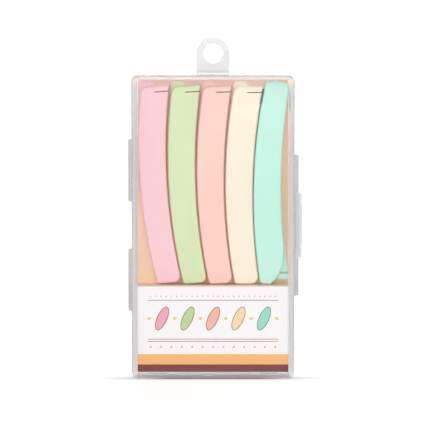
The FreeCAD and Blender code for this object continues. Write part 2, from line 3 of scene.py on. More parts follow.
import bmesh
import bpy
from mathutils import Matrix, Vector


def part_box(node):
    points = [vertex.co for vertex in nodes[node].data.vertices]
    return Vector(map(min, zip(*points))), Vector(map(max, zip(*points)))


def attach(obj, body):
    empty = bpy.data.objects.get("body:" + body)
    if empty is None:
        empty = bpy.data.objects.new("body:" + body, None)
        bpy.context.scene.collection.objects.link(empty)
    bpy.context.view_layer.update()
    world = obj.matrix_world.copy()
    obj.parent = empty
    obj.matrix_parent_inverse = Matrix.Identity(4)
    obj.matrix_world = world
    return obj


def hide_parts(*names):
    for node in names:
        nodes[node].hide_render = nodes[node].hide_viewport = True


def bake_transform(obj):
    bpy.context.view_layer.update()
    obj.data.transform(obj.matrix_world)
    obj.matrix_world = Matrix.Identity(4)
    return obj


# A clear hinged travel case with five small folding eyebrow razors on a printed card stand.
# The scene is in metres. X runs to the latch side, Y to the back and Z up from the table.
# The object's named places and sizes are in millimetres, and colours are screen colours out of 255.

MM = 0.001

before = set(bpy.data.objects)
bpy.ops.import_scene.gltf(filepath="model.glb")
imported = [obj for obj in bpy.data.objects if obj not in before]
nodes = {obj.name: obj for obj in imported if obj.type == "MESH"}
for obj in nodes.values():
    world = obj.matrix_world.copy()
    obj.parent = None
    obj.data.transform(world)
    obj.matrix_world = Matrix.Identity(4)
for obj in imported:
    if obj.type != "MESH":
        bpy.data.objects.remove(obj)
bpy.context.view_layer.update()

# Colours of the razors, the card, its print, the steel and the stage floor

PASTELS = {
    "pink": (249, 201, 208),
    "green": (213, 229, 180),
    "peach": (254, 206, 192),
    "cream": (253, 238, 216),
    "mint": (194, 244, 227),
}
FRONT_CARD = (254, 251, 253)
SHELF_CARD = (255, 220, 190)
PANEL_CARD = (255, 222, 190)
PANEL_HEAD_CARD = (255, 214, 206)
PANEL_SIDE_CARD = (255, 203, 172)
BARE_BOARD = (245, 240, 231)
BOARD_FLECK = (214, 200, 178)
BOARD_FIBRE = (200, 196, 190)
MAROON_INK = (114, 28, 28)
ORANGE_INK = (255, 186, 112)
GOLD_INK = (236, 206, 140)
ROSE_INK = (226, 150, 148)
STEEL = (196, 199, 203)
STAGE_FLOOR = (250, 250, 250)


def linear(colour):
    """A screen colour as the linear colour that a shader takes."""

    def channel(value):
        share = value / 255
        if share <= 0.04045:
            return share / 12.92
        return ((share + 0.055) / 1.055) ** 2.4

    return (*(channel(value) for value in colour), 1.0)


def shade(colour, factor):
    """The colour made lighter or darker."""
    return tuple(min(255, value * factor) for value in colour)


# Materials

# How far to each side of a limit a share rises or falls
SOFT_EDGE = 0.15


class Finish:
    """A material under construction, with short calls for the nodes that it needs."""

    def __init__(self, name):
        self.material = bpy.data.materials.new(name)
        self.material.use_nodes = True
        self.tree = self.material.node_tree
        self.tree.nodes.clear()
        self.output = self.add("ShaderNodeOutputMaterial")
        self.place = self.add("ShaderNodeTexCoord").outputs["Object"]

    def add(self, kind, **settings):
        """A node with its plain settings."""
        node = self.tree.nodes.new(kind)
        for key, value in settings.items():
            setattr(node, key, value)
        return node

    def feed(self, value, socket):
        """Gives a socket a link from another socket, or a constant."""
        if isinstance(value, bpy.types.NodeSocket):
            self.tree.links.new(value, socket)
        else:
            socket.default_value = value

    def axis(self, name):
        """One Object coordinate, in metres."""
        split = self.add("ShaderNodeSeparateXYZ")
        self.feed(self.place, split.inputs["Vector"])
        return split.outputs[name]

    def from_middle(self, name):
        """How far a point lies from the middle of the case along one axis, in metres."""
        return self.maths("ABSOLUTE", self.axis(name))

    def maths(self, operation, first, second=0.0):
        """A Math node on a socket and a number or another socket."""
        node = self.add("ShaderNodeMath", operation=operation)
        self.feed(first, node.inputs[0])
        self.feed(second, node.inputs[1])
        return node.outputs["Value"]

    def product(self, first, *others):
        """Shares multiplied with each other."""
        for other in others:
            first = self.maths("MULTIPLY", first, other)
        return first

    def largest(self, first, *others):
        """The largest of several shares."""
        for other in others:
            first = self.maths("MAXIMUM", first, other)
        return first

    def ranged(self, source, low, high, start=0.0, end=1.0):
        """A number spread from low to high between two values of the source."""
        node = self.add("ShaderNodeMapRange")
        self.feed(start, node.inputs["From Min"])
        self.feed(end, node.inputs["From Max"])
        self.feed(low, node.inputs["To Min"])
        self.feed(high, node.inputs["To Max"])
        self.feed(source, node.inputs["Value"])
        return node.outputs["Result"]

    def rising(self, source, start, end):
        """A share that rises from 0 to 1 between two places in millimetres."""
        return self.ranged(source, 0.0, 1.0, start * MM, end * MM)

    def falling(self, source, start, end):
        """A share that falls from 1 to 0 between two places in millimetres."""
        return self.ranged(source, 1.0, 0.0, start * MM, end * MM)

    def beyond(self, source, limit, soft=SOFT_EDGE):
        """A share of 1 past a limit in millimetres, with a soft edge."""
        return self.rising(source, limit - soft, limit + soft)

    def between(self, source, limits, soft=SOFT_EDGE):
        """A share of 1 between two limits in millimetres, with soft edges."""
        start, end = limits
        before_end = self.falling(source, end - soft, end + soft)
        return self.product(self.beyond(source, start, soft), before_end)

    def above(self, source, limit):
        """A share of 1 past a limit in millimetres, with a sharp edge."""
        return self.maths("GREATER_THAN", source, limit * MM)

    def noise(self, scale, detail=2.0, stretch=(1, 1, 1)):
        """A grey noise in Object coordinates; scale is in waves a metre."""
        mapping = self.add("ShaderNodeMapping")
        self.feed(stretch, mapping.inputs["Scale"])
        self.feed(self.place, mapping.inputs["Vector"])
        node = self.add("ShaderNodeTexNoise")
        self.feed(scale, node.inputs["Scale"])
        self.feed(detail, node.inputs["Detail"])
        self.feed(mapping.outputs["Vector"], node.inputs["Vector"])
        return node.outputs["Fac"]

    def mixed(self, share, first, second):
        """Two colours mixed by a share; each is a colour or a socket."""
        node = self.add("ShaderNodeMix", data_type="RGBA")
        self.feed(share, node.inputs["Factor"])
        for name, colour in (("A", first), ("B", second)):
            socket = [s for s in node.inputs if s.name == name and s.type == "RGBA"][0]
            self.feed(linear(colour) if isinstance(colour, tuple) else colour, socket)
        return [s for s in node.outputs if s.type == "RGBA"][0]

    def ramped(self, source, stops, top):
        """A colour by place; each stop is a place from 0 to top, in millimetres, and its colour."""
        node = self.add("ShaderNodeValToRGB")
        elements = node.color_ramp.elements
        while len(elements) < len(stops):
            elements.new(1.0)
        for element, (place, colour) in zip(elements, stops):
            element.position = place / top
            element.color = linear(colour)
        self.feed(self.maths("DIVIDE", source, top * MM), node.inputs["Fac"])
        return node.outputs["Color"]

    def bumped(self, height, strength, distance):
        """A bump normal from a height; distance is in millimetres."""
        node = self.add("ShaderNodeBump")
        self.feed(strength, node.inputs["Strength"])
        self.feed(distance * MM, node.inputs["Distance"])
        self.feed(height, node.inputs["Height"])
        return node.outputs["Normal"]

    def principled(self, **values):
        """The main shader; each value is a constant or a socket, named with underscores."""
        shader = self.add("ShaderNodeBsdfPrincipled")
        for key, value in values.items():
            self.feed(value, shader.inputs[key.replace("_", " ")])
        return shader.outputs["BSDF"]

    def blended(self, share, first, second):
        """Two shaders mixed by a share; a share of 0 is the first."""
        node = self.add("ShaderNodeMixShader")
        for value, socket in zip((share, first, second), node.inputs):
            self.feed(value, socket)
        return node.outputs["Shader"]

    def done(self, shader):
        """Plugs the shader in and gives the material."""
        self.feed(shader, self.output.inputs["Surface"])
        return self.material


# The painted warm light off the card in the narrow gaps between razors: its colour and share, the
# depths between which it grows, how far a face has to turn sideways for it, and each razor's gap sides
GAP_CARD_LIGHT = (222, 100, 58)
GAP_SHARE = 0.7
GAP_DEPTHS = (-1.5, -1.25)
GAP_TURNS = (0.35, 0.85)
GAP_SIDES = {"pink": "right", "green": "both", "peach": "both", "cream": "left"}


def gap_light_share(finish, sides):
    """How much painted warm light a surface takes in a gap, by the side that it faces and by its
    depth.
    """
    split = finish.add("ShaderNodeSeparateXYZ")
    finish.feed(finish.add("ShaderNodeNewGeometry").outputs["Normal"], split.inputs["Vector"])
    facing = split.outputs["X"]
    if sides == "both":
        facing = finish.maths("ABSOLUTE", facing)
    if sides == "left":
        facing = finish.maths("MULTIPLY", facing, -1.0)
    sideways = finish.ranged(facing, 0.0, GAP_SHARE, *GAP_TURNS)
    return finish.product(sideways, finish.rising(finish.axis("Y"), *GAP_DEPTHS))


def pastel_plastic(name, colour):
    """Satin moulded plastic with faint flow clouds, a fine spark-eroded skin and painted warm light in
    the gaps.
    """
    finish = Finish(f"{name}_plastic")
    clouds = finish.noise(scale=70, detail=3.0, stretch=(1, 1, 0.35))
    base = finish.mixed(clouds, shade(colour, 0.975), shade(colour, 1.02))
    # Painted warm light off the card on the sides that face a gap
    if name in GAP_SIDES:
        base = finish.mixed(gap_light_share(finish, GAP_SIDES[name]), base, GAP_CARD_LIGHT)
    grain = finish.noise(scale=5200)
    wear = finish.noise(scale=260)
    shader = finish.principled(
        Base_Color=base,
        Roughness=finish.ranged(wear, low=0.4, high=0.52),
        IOR=1.49,
        Subsurface_Weight=0.15,
        Subsurface_Radius=(1.0, 0.5, 0.35),
        Subsurface_Scale=1.0 * MM,
        Normal=finish.bumped(grain, strength=0.25, distance=0.02),
    )
    return finish.done(shader)


# Where the clear plastic looks milky, because it is thick there or seen along its thickness.
# Reaches and depths are from the middle of the case, heights from the table, and a pair is a
# span. Two pairs are a span across and a span in height.
OBJECT_TOP = 131.0
WALL_REACH = 29.0
FITTING_REACH = 31.3
LATCH_REACH = 32.9
OUTER_DEPTH = 6.2
# Below the ground span the milk covers the foot in the dark tone of a painted contact shadow
GROUND_SPAN = (0.4, 0.7)
FOOT_SPAN = (1.25, 1.5)
RIM_START = 115.1
CROWN_START = 116.8
TAB_START = 117.3
FOOT_END_SPANS = ((17, 27), (0.65, 1.0))
CORNER_SPANS = ((29, 30.2), (1.8, 3.0))
PLATE_SPANS = ((32.0, 33.6), (46.3, 71.7))
# The walls carry painted reflections of the colour that lies beside them, and beside the mint razor a
# painted shadow
GLOW_REACH = (29.4, 30.0)
GLOW_START = 36.0
GLOW_END = (113.8, 115.8)
MINT_HEAD = (103.5, 111.5)
MINT_FADE = 1.5
LEFT_WALL_REFLECTION = (186, 172, 173)
RIGHT_WALL_REFLECTION = (224, 184, 154)
MINT_WALL_SHADOW = (118, 152, 140)
# How much milk covers the clear plastic in its plain faces, where it is thick, and in single places
CLEAR_SHARE = 0.015
THICK_SHARE = 0.45
CROWN_SHARE = 0.15
# The glow share lays the painted wall reflections over the milk, and the ground share the painted
# contact shadow
MILK_SHARES = {"glow": 0.6, "tab": 0.6, "ground": 0.7, "plate": 0.75, "sidelong": 0.22}
SIDELONG_BLEND = 0.3
SIDELONG_START = 0.35
# The least share of the light that goes straight through, as in a thin sheet, and the two tints
STRAIGHT_SHARE = 0.55
CLEAR = (254, 254, 254)
CLEAR_EDGE = (244, 244, 245)
# The tone of the milk by height, from the foot over the walls to the rim and the tab, with painted
# contact shadow at the foot, painted reflections of the card and painted shade on the upper walls
# Painted contact shadow at the very foot
FOOT_CONTACT_SHADOW = (48, 48, 46)
FOOT_UNDER_SHADOW = (84, 84, 80)
FOOT_MILK = (200, 192, 186)
# A painted reflection of the card's foot, low on the case's foot
CARD_BAND_REFLECTION = (164, 122, 112)
LOW_WALL_MILK = (218, 214, 213)
WALL_MILK = (208, 203, 202)
# Painted shade: the walls' milk grows darker from the foot towards the top
HIGH_WALL_SHADED_MILK = (182, 179, 178)
# A painted warm reflection of the card, under the rim
WARM_RIM_REFLECTION = (240, 208, 190)
RIM_MILK = (174, 168, 162)
TAB_ROOT_MILK = (206, 208, 202)
TAB_MILK = (219, 220, 221)
MILK_TONES = [
    (0.0, FOOT_CONTACT_SHADOW),
    (0.4, FOOT_UNDER_SHADOW),
    (0.65, FOOT_MILK),
    (1.05, FOOT_MILK),
    (1.15, CARD_BAND_REFLECTION),
    (1.3, CARD_BAND_REFLECTION),
    (1.6, LOW_WALL_MILK),
    (50.0, WALL_MILK),
    (112.0, HIGH_WALL_SHADED_MILK),
    (114.8, WARM_RIM_REFLECTION),
    (115.9, RIM_MILK),
    (116.6, RIM_MILK),
    (117.0, TAB_ROOT_MILK),
    (118.2, TAB_ROOT_MILK),
    (118.5, TAB_MILK),
]
# The tone in single places, each over the one before; foot_end and corner make the foot lighter
# towards its ends and at its lower outer corners, where the painted contact shadow stops
PLACE_TONES = {
    "foot_end": (226, 226, 221),
    "corner": (253, 253, 251),
    "fitting": (220, 217, 219),
    "latch": (255, 255, 255),
    "plate": (226, 230, 232),
}


def milky_places(finish):
    """Shares from 0 to 1 that say where a point of the clear plastic lies, by name."""
    height = finish.axis("Z")
    across = finish.from_middle("X")
    outer = finish.beyond(finish.from_middle("Y"), OUTER_DEPTH)
    side = finish.beyond(across, WALL_REACH)
    fitting = finish.beyond(across, FITTING_REACH)
    head = finish.beyond(height, RIM_START)
    crown = finish.ranged(finish.beyond(height, CROWN_START), 0.0, CROWN_SHARE)
    foot = finish.falling(height, *FOOT_SPAN)
    rim = finish.product(finish.largest(side, head), outer)
    sidelong = finish.add("ShaderNodeLayerWeight")
    finish.feed(SIDELONG_BLEND, sidelong.inputs["Blend"])

    def low_and_aside(spans):
        reach, heights = spans
        return finish.product(finish.falling(height, *heights), finish.rising(across, *reach))

    return {
        "thick": finish.largest(rim, crown, foot, fitting),
        # Where the walls carry painted reflections
        "glow": finish.product(
            finish.falling(across, *GLOW_REACH),
            finish.beyond(height, GLOW_START),
            finish.falling(height, *GLOW_END),
            finish.product(side, outer),
        ),
        "tab": finish.beyond(height, TAB_START),
        "ground": finish.falling(height, *GROUND_SPAN),
        "plate": finish.product(
            finish.between(finish.axis("X"), PLATE_SPANS[0]),
            finish.between(height, PLATE_SPANS[1]),
        ),
        "sidelong": finish.ranged(sidelong.outputs["Facing"], 0.0, 1.0, SIDELONG_START, 1.0),
        "foot_end": low_and_aside(FOOT_END_SPANS),
        "corner": low_and_aside(CORNER_SPANS),
        "fitting": fitting,
        "latch": finish.beyond(across, LATCH_REACH),
    }


def milk_share(finish, places):
    """How much milk covers the clear plastic at a point."""
    share = finish.ranged(places["thick"], CLEAR_SHARE, THICK_SHARE)
    for name, most in MILK_SHARES.items():
        share = finish.largest(share, finish.ranged(places[name], 0.0, most))
    return share


def milk_tone(finish, places):
    """The colour of the milk at a point, with its painted shade, shadows and reflections."""
    height = finish.axis("Z")
    milk = finish.ramped(height, MILK_TONES, OBJECT_TOP)
    # Painted reflections on the side walls, and a painted shadow beside the mint razor's head
    right_wall_tone = finish.mixed(finish.between(height, MINT_HEAD, MINT_FADE), RIGHT_WALL_REFLECTION, MINT_WALL_SHADOW)
    glow = finish.mixed(finish.above(finish.axis("X"), 0.0), LEFT_WALL_REFLECTION, right_wall_tone)
    milk = finish.mixed(places["glow"], milk, glow)
    for name, tone in PLACE_TONES.items():
        milk = finish.mixed(places[name], milk, tone)
    return milk


def clear_plastic():
    """Clear moulded polypropylene: thin faces stay clear, thick rims turn grey and milky, and the milk
    holds painted shade and reflections.
    """
    finish = Finish("clear_plastic")
    flow = finish.noise(scale=60, detail=3.0, stretch=(1, 1, 0.4))
    skin = finish.bumped(flow, strength=0.03, distance=0.05)
    places = milky_places(finish)
    tint = finish.mixed(places["thick"], CLEAR, CLEAR_EDGE)
    bent = finish.principled(
        Base_Color=tint,
        Roughness=finish.ranged(flow, low=0.1, high=0.2),
        IOR=1.3,
        Transmission_Weight=1.0,
        Normal=skin,
    )
    straight = finish.add("ShaderNodeBsdfTransparent")
    finish.feed(tint, straight.inputs["Color"])
    haze = finish.principled(
        Base_Color=milk_tone(finish, places),
        Roughness=0.3,
        IOR=1.46,
        Normal=skin,
    )
    path = finish.add("ShaderNodeLightPath")
    soft = finish.largest(path.outputs["Is Shadow Ray"], path.outputs["Is Diffuse Ray"])
    clear = finish.blended(finish.largest(soft, STRAIGHT_SHARE), bent, straight.outputs["BSDF"])
    return finish.done(finish.blended(milk_share(finish, places), clear, haze))


def ground_steel():
    """Cold-rolled stainless strip with fine lines along its length."""
    finish = Finish("blade_steel")
    lines = finish.noise(scale=2600, stretch=(1, 1, 0.02))
    shader = finish.principled(
        Base_Color=finish.mixed(lines, shade(STEEL, 0.9), shade(STEEL, 1.08)),
        Metallic=1.0,
        Roughness=finish.ranged(lines, low=0.2, high=0.34),
        Normal=finish.bumped(lines, strength=0.3, distance=0.01),
    )
    return finish.done(shader)


# Where the card changes colour: heights from the table, depths from the middle of the case
MAROON_TOP = 5.6
ORANGE_TOP = 9.6
WHITE_TOP = 35.6
INSIDE_TOP = 35.8
STAND_DEPTH = -5.3
PANEL_DEPTH = 5.3
BACK_DEPTH = 5.8
PANEL_HEAD = (100.0, 117.0)
PANEL_SIDE = (20, 28)
SIDE_RISE = (36.0, 100.0)
SIDE_START_SHARE = 0.2
FLECK_NOISE = (0.55, 0.72)
FLECK_SHARE = 0.8
FIBRE_SHARE = 0.06


def board_fibre(finish):
    """The fine fibre that shows through coated board and its ink."""
    return finish.noise(scale=1500, detail=4.0, stretch=(1, 1, 0.5))


def printed_card():
    """Coated paperboard: white in front with two bands at its foot, peach behind the razors."""
    finish = Finish("printed_card")
    height = finish.axis("Z")
    depth = finish.axis("Y")
    bands = finish.mixed(finish.above(height, MAROON_TOP), MAROON_INK, ORANGE_INK)
    front = finish.mixed(finish.above(height, ORANGE_TOP), bands, FRONT_CARD)
    front = finish.mixed(finish.above(height, WHITE_TOP), front, SHELF_CARD)
    panel = finish.mixed(finish.rising(height, *PANEL_HEAD), PANEL_CARD, PANEL_HEAD_CARD)
    to_side = finish.rising(finish.axis("X"), *PANEL_SIDE)
    upwards = finish.ranged(height, SIDE_START_SHARE, 1.0, SIDE_RISE[0] * MM, SIDE_RISE[1] * MM)
    panel = finish.mixed(finish.product(to_side, upwards), panel, PANEL_SIDE_CARD)
    shelf_or_panel = finish.mixed(finish.above(depth, PANEL_DEPTH), SHELF_CARD, panel)
    behind = finish.above(depth, STAND_DEPTH)
    printed = finish.mixed(behind, front, shelf_or_panel)
    inside = finish.product(finish.maths("LESS_THAN", height, INSIDE_TOP * MM), behind)
    bare = finish.largest(inside, finish.above(depth, BACK_DEPTH))
    flecks = finish.noise(scale=2000, detail=4.0, stretch=(1, 1, 0.5))
    flecks = finish.ranged(flecks, 0.0, FLECK_SHARE, *FLECK_NOISE)
    board = finish.mixed(flecks, BARE_BOARD, BOARD_FLECK)
    fibre = board_fibre(finish)
    shader = finish.principled(
        Base_Color=finish.mixed(
            finish.ranged(fibre, 0.0, FIBRE_SHARE), finish.mixed(bare, printed, board), BOARD_FIBRE
        ),
        Roughness=finish.ranged(fibre, low=0.5, high=0.65),
        Specular_IOR_Level=0.25,
        Normal=finish.bumped(fibre, strength=0.2, distance=0.02),
    )
    return finish.done(shader)


def printed_ink(name, colour):
    """Ink on the card: a little uneven, with the board's fibre under it."""
    finish = Finish(f"{name}_ink")
    fibre = board_fibre(finish)
    shader = finish.principled(
        Base_Color=finish.mixed(fibre, shade(colour, 0.96), shade(colour, 1.03)),
        Roughness=finish.ranged(fibre, low=0.45, high=0.6),
        Specular_IOR_Level=0.25,
        Normal=finish.bumped(fibre, strength=0.2, distance=0.02),
    )
    return finish.done(shader)


# The stage floor glows a little in view, and a painted contact shadow darkens it in the line where the
# case stands
FLOOR_GLOW = 0.36
CONTACT_SHADOW_TONE = (170, 170, 172)
CONTACT_SHADOW_SHARE = 0.75
CONTACT_SETBACK = 4.0
CONTACT_WIDTH = (0.5, 5)
CONTACT_ENDS = (32, 47)


def plain_floor():
    """A pale paper sweep that keeps the soft shadow under the case, with a painted contact shadow
    along the foot.
    """
    finish = Finish("floor")
    mottled = finish.mixed(finish.noise(scale=30), shade(STAGE_FLOOR, 0.99), STAGE_FLOOR)
    astray = finish.maths("ABSOLUTE", finish.maths("ADD", finish.axis("Y"), CONTACT_SETBACK * MM))
    fading = finish.falling(finish.from_middle("X"), *CONTACT_ENDS)
    # The painted contact shadow: a dark line along the foot of the case, fading at its ends
    painted_contact = finish.product(
        finish.ranged(fading, 0.0, CONTACT_SHADOW_SHARE),
        finish.falling(astray, *CONTACT_WIDTH),
    )
    diffuse = finish.add("ShaderNodeBsdfDiffuse")
    finish.feed(finish.mixed(painted_contact, mottled, CONTACT_SHADOW_TONE), diffuse.inputs["Color"])
    path = finish.add("ShaderNodeLightPath")
    rays = [path.outputs[f"Is {kind} Ray"] for kind in ("Camera", "Transmission", "Glossy")]
    glow = finish.add("ShaderNodeEmission")
    finish.feed(finish.ranged(finish.largest(*rays), 0.0, FLOOR_GLOW), glow.inputs["Strength"])
    both = finish.add("ShaderNodeAddShader")
    finish.feed(diffuse.outputs["BSDF"], both.inputs[0])
    finish.feed(glow.outputs["Emission"], both.inputs[1])
    return finish.done(both.outputs["Shader"])


CLEAR_PLASTIC = clear_plastic()
BLADE_STEEL = ground_steel()
CARD = printed_card()


def dress(node, material):
    """Gives a CAD node its material on every slot."""
    for slot in nodes[node].material_slots:
        slot.material = material


for name in ("case_base", "case_lid", "latch", "hang_tab"):
    dress(name, CLEAR_PLASTIC)
dress("insert_card", CARD)
for name, colour in PASTELS.items():
    plastic = pastel_plastic(name, colour)
    dress(f"{name}_handle", plastic)
    dress(f"{name}_arm", plastic)
    dress(f"{name}_blade", BLADE_STEEL)
    dress(f"{name}_pivot_pin", BLADE_STEEL)


# New pieces


def add_object(name, data):
    """Puts a mesh, a lamp or a camera into the scene."""
    item = bpy.data.objects.new(name, data)
    bpy.context.scene.collection.objects.link(item)
    return item


class Recipe:
    """A Geometry Nodes tree under construction, with named inputs."""

    def __init__(self, name):
        self.tree = bpy.data.node_groups.new(name, "GeometryNodeTree")
        self.tree.interface.new_socket("Geometry", in_out="OUTPUT", socket_type="NodeSocketGeometry")
        self.sockets = {}
        self.start = self.tree.nodes.new("NodeGroupInput")
        self.end = self.tree.nodes.new("NodeGroupOutput")

    def ask(self, label, kind):
        """A named input and the socket that gives its value."""
        socket = self.tree.interface.new_socket(label, in_out="INPUT", socket_type=f"NodeSocket{kind}")
        self.sockets[label] = socket.identifier
        return [s for s in self.start.outputs if s.identifier == socket.identifier][0]

    def add(self, kind, links=(), **settings):
        """A node with its plain settings and its links from sockets to named inputs."""
        node = self.tree.nodes.new(kind)
        for key, value in settings.items():
            setattr(node, key, value)
        for label, source in links:
            self.tree.links.new(source, node.inputs[label])
        return node

    def make(self, name, values):
        """A plain mesh object that the tree gives with these values."""
        host = add_object(f"{name}_host", bpy.data.meshes.new(f"{name}_host"))
        modifier = host.modifiers.new("recipe", "NODES")
        modifier.node_group = self.tree
        for label, value in values.items():
            modifier[self.sockets[label]] = value
        shown = host.evaluated_get(bpy.context.evaluated_depsgraph_get())
        mesh = bpy.data.meshes.new_from_object(shown)
        host.modifiers.remove(modifier)
        bpy.data.objects.remove(host)
        mesh.name = name
        return add_object(name, mesh)


FACING_FRONT = (math.pi / 2, 0.0, 0.0)
DOT_SIDES = 24


def row_recipe(name, is_round):
    """Equal prints in a row on the card's front: ovals and dots, or bars, each turned the same."""
    recipe = Recipe(name)
    count = recipe.ask("Count", "Int")
    start = recipe.ask("Start", "Vector")
    step = recipe.ask("Step", "Vector")
    size = recipe.ask("Size", "Vector")
    turn = recipe.ask("Turn", "Float")
    material = recipe.ask("Material", "Material")
    line = recipe.add(
        "GeometryNodeMeshLine",
        [("Count", count), ("Start Location", start), ("Offset", step)],
        mode="OFFSET",
    )
    if is_round:
        shape = recipe.add("GeometryNodeMeshCylinder")
        shape.inputs["Vertices"].default_value = DOT_SIDES
        shape.inputs["Radius"].default_value = 0.5
        shape.inputs["Depth"].default_value = 1.0
    else:
        shape = recipe.add("GeometryNodeMeshCube")
    standing = recipe.add("GeometryNodeTransform", [("Geometry", shape.outputs["Mesh"])])
    standing.inputs["Rotation"].default_value = FACING_FRONT
    sized = recipe.add(
        "GeometryNodeTransform",
        [("Geometry", standing.outputs["Geometry"]), ("Scale", size)],
    )
    rotation = recipe.add("ShaderNodeCombineXYZ", [("Y", turn)])
    placed = recipe.add(
        "GeometryNodeInstanceOnPoints",
        [
            ("Points", line.outputs["Mesh"]),
            ("Instance", sized.outputs["Geometry"]),
            ("Rotation", rotation.outputs["Vector"]),
        ],
    )
    real = recipe.add("GeometryNodeRealizeInstances", [("Geometry", placed.outputs["Instances"])])
    inked = recipe.add(
        "GeometryNodeSetMaterial",
        [("Geometry", real.outputs["Geometry"]), ("Material", material)],
    )
    recipe.tree.links.new(inked.outputs["Geometry"], recipe.end.inputs["Geometry"])
    return recipe


# The print on the card's front: five slanted petals between rules and rows of dots.
# Its places, sizes and steps are across and up.

ROUND_ROW = row_recipe("round_row", True)
BAR_ROW = row_recipe("bar_row", False)
INK_THICKNESS = 0.02
CARD_FRONT = -5.5
INKS = {
    "maroon": printed_ink("maroon", MAROON_INK),
    "orange": printed_ink("orange", ORANGE_INK),
    "gold": printed_ink("gold", GOLD_INK),
    "rose": printed_ink("rose", ROSE_INK),
}
PETAL_INKS = {
    "pink": (242, 170, 186),
    "green": (190, 218, 150),
    "peach": (252, 186, 160),
    "cream": (248, 222, 176),
    "mint": (150, 224, 204),
}
PETAL_ROW = 23.4
PETAL_STEP = 9.8
PETAL_SIZE = (3.5, 9.4)
PETAL_LEAN = 24.0
OUTLINE = 0.5
PETALS_START = -PETAL_STEP * (len(PETAL_INKS) - 1) / 2
DROPS_START = PETALS_START - PETAL_STEP / 2
# Each row: its shape, ink, number of prints, first place, size and step
ROWS = {
    "gold_drops": (ROUND_ROW, "gold", 6, (DROPS_START, PETAL_ROW), (1.3, 1.3), (PETAL_STEP, 0)),
    "top_dots": (ROUND_ROW, "rose", 25, (-24.0, 32.0), (0.5, 0.5), (2.0, 0)),
    "upper_rule": (BAR_ROW, "maroon", 1, (0.0, 30.4), (50.0, 0.2), (0, 0)),
    "lower_rules": (BAR_ROW, "maroon", 2, (0.0, 15.4), (50.0, 0.2), (0, -0.9)),
    "low_dots": (ROUND_ROW, "orange", 13, (-24.0, 12.4), (0.9, 0.9), (4.0, 0)),
}


def print_row(name, recipe, ink, count, start, size, step, turn=0, layer=1):
    """Prints a row on the card; a higher layer lies over a lower one."""
    level = CARD_FRONT - INK_THICKNESS * (layer - 0.5)
    piece = recipe.make(
        name,
        {
            "Count": count,
            "Start": (start[0] * MM, level * MM, start[1] * MM),
            "Step": (step[0] * MM, 0.0, step[1] * MM),
            "Size": (size[0] * MM, INK_THICKNESS * MM, size[1] * MM),
            "Turn": math.radians(turn),
            "Material": ink,
        },
    )
    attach(piece, "case_base")


print_row(
    "petal_outlines",
    ROUND_ROW,
    INKS["maroon"],
    len(PETAL_INKS),
    (PETALS_START, PETAL_ROW),
    (PETAL_SIZE[0] + OUTLINE, PETAL_SIZE[1] + OUTLINE),
    (PETAL_STEP, 0),
    turn=PETAL_LEAN,
)
for index, (name, colour) in enumerate(PETAL_INKS.items()):
    print_row(
        f"{name}_petal",
        ROUND_ROW,
        printed_ink(f"{name}_petal", colour),
        1,
        (PETALS_START + index * PETAL_STEP, PETAL_ROW),
        PETAL_SIZE,
        (0, 0),
        turn=PETAL_LEAN,
        layer=2,
    )
for name, (recipe, ink, count, start, size, step) in ROWS.items():
    print_row(name, recipe, INKS[ink], count, start, size, step)

# Pieces made point by point


def join_rings(build, rings):
    """Closes a body with walls from ring to ring of four corners, and a cap at each end."""
    for before, after in zip(rings, rings[1:]):
        for i in range(4):
            build.faces.new((before[i], before[(i + 1) % 4], after[(i + 1) % 4], after[i]))
    build.faces.new(rings[0][::-1])
    build.faces.new(rings[-1])


def made_object(build, name, material):
    """An object from the finished mesh, with its faces turned outwards."""
    bmesh.ops.recalc_face_normals(build, faces=build.faces)
    mesh = bpy.data.meshes.new(name)
    build.to_mesh(mesh)
    build.free()
    mesh.materials.append(material)
    return add_object(name, mesh)


# Thin strips that replace the rigid webs

X_AXIS, Y_AXIS, Z_AXIS = 0, 1, 2
CORNERS = ((0, 0), (1, 0), (1, 1), (0, 1))
STRIP_STEPS = 16
# How far the bend reaches to either side of the web's middle
HINGE_BEND = 0.12
LATCH_BEND = 0.1


def make_strip(name, low, high, along):
    """A thin strip between two corners, divided along one axis so that it can bend."""
    build = bmesh.new()
    rings = []
    sideways, upwards = [axis for axis in range(3) if axis != along]
    for step in range(STRIP_STEPS + 1):
        share = step / STRIP_STEPS
        ring = []
        for first, second in CORNERS:
            corner = [0.0, 0.0, 0.0]
            corner[along] = low[along] + (high[along] - low[along]) * share
            corner[sideways] = (low, high)[first][sideways]
            corner[upwards] = (low, high)[second][upwards]
            ring.append(build.verts.new(corner))
        rings.append(ring)
    join_rings(build, rings)
    return made_object(build, name, CLEAR_PLASTIC)


def bending_web(name, node, along, bodies, start, end):
    """Replaces a CAD web with a thin strip that fills the same box."""
    low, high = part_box(node)
    strip = make_strip(name, low, high, along)
    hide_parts(node)
    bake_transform(strip)


def bend_span(node, along, reach):
    """The two ends of a bend of this reach to either side of the middle of a web."""
    low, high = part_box(node)
    middle = (low + high) / 2
    offset = Vector((0, 0, 0))
    offset[along] = reach * MM
    return tuple(middle - offset), tuple(middle + offset)


for name in ("lower_hinge", "upper_hinge"):
    span = bend_span(f"{name}_web", Y_AXIS, HINGE_BEND)
    bending_web(f"{name}_skin", f"{name}_web", Y_AXIS, ("case_lid", "case_base"), *span)
span = bend_span("latch_web", X_AXIS, LATCH_BEND)
bending_web("latch_skin", "latch_web", X_AXIS, ("case_lid", "latch"), *span)
# The tab's span runs up the front of its web
low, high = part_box("hang_tab_web")
span = ((0, low.y, low.z), (0, low.y, high.z))
bending_web("hang_tab_skin", "hang_tab_web", Z_AXIS, ("case_base", "hang_tab"), *span)

# The thin dark strip of painted shadow on the floor of the seam across each heel

SEAM_SHADE = 0.3
SEAM_PROUD = 0.03
